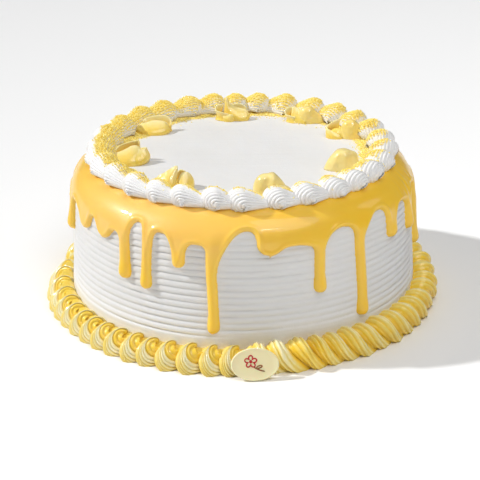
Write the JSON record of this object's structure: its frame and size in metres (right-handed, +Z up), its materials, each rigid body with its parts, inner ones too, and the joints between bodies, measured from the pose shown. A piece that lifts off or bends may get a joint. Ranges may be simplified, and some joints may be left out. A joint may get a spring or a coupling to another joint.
{
  "type": "meringue cake",
  "caption": "Round white iced cake with a mango drip glaze, piped shell and rope borders, a ring of folded yellow cream dollops and a small oval plaque.",
  "frame": {"origin": "middle of the cake's flat base, on the surface that it stands on", "axes": "+Z up, -Y towards the front with the plaque, +X to the right seen from the front"},
  "size_m": [0.272, 0.2774, 0.1131],
  "materials": {
    "white_icing": "soft satin, combed whipped icing",
    "white_shells": "soft satin, fine-ridged piped icing",
    "mango_glaze": "wet gloss, smooth fruit glaze",
    "rope_icing": "soft satin, two-tone piped icing",
    "yellow_cream": "soft gloss, smooth folded cream",
    "cream_plaque": "satin white chocolate"
  },
  "bodies": {
    "root": {"cake_body": "white_icing", "drip_glaze": "mango_glaze", "top_border": "white_shells", "bottom_border": "rope_icing", "dollop_1": "yellow_cream", "dollop_2": "yellow_cream", "dollop_3": "yellow_cream", "dollop_4": "yellow_cream", "dollop_5": "yellow_cream", "dollop_6": "yellow_cream", "dollop_7": "yellow_cream", "dollop_8": "yellow_cream", "plaque": "cream_plaque"}
  },
  "joints": []
}
